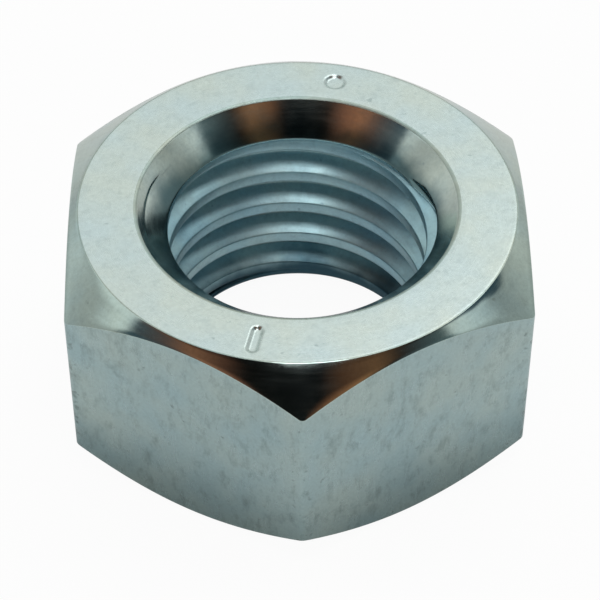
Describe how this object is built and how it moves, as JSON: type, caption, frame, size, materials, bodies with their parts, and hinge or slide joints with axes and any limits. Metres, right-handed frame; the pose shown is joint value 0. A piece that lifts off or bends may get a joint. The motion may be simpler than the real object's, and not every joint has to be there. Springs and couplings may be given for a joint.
{
  "type": "hexagon nut",
  "caption": "Plated steel hexagon nut, chamfered at both ends, with a coarse metric thread cut through a bore that is countersunk at both mouths.",
  "frame": {"origin": "middle of the face that the nut rests on, on the axis of its thread", "axes": "+Z along the thread's axis, away from the face that the nut rests on; one corner of the hexagon points along -Y and the opposite one along +Y"},
  "size_m": [0.018, 0.0206, 0.0096],
  "materials": {
    "zinc_plated_steel": "zinc plated and clear blue passivated over machined and forged steel, a satin grey with a cold tint, brighter on the turned cones"
  },
  "bodies": {
    "root": {"hexagon_nut": "zinc_plated_steel"}
  },
  "joints": []
}
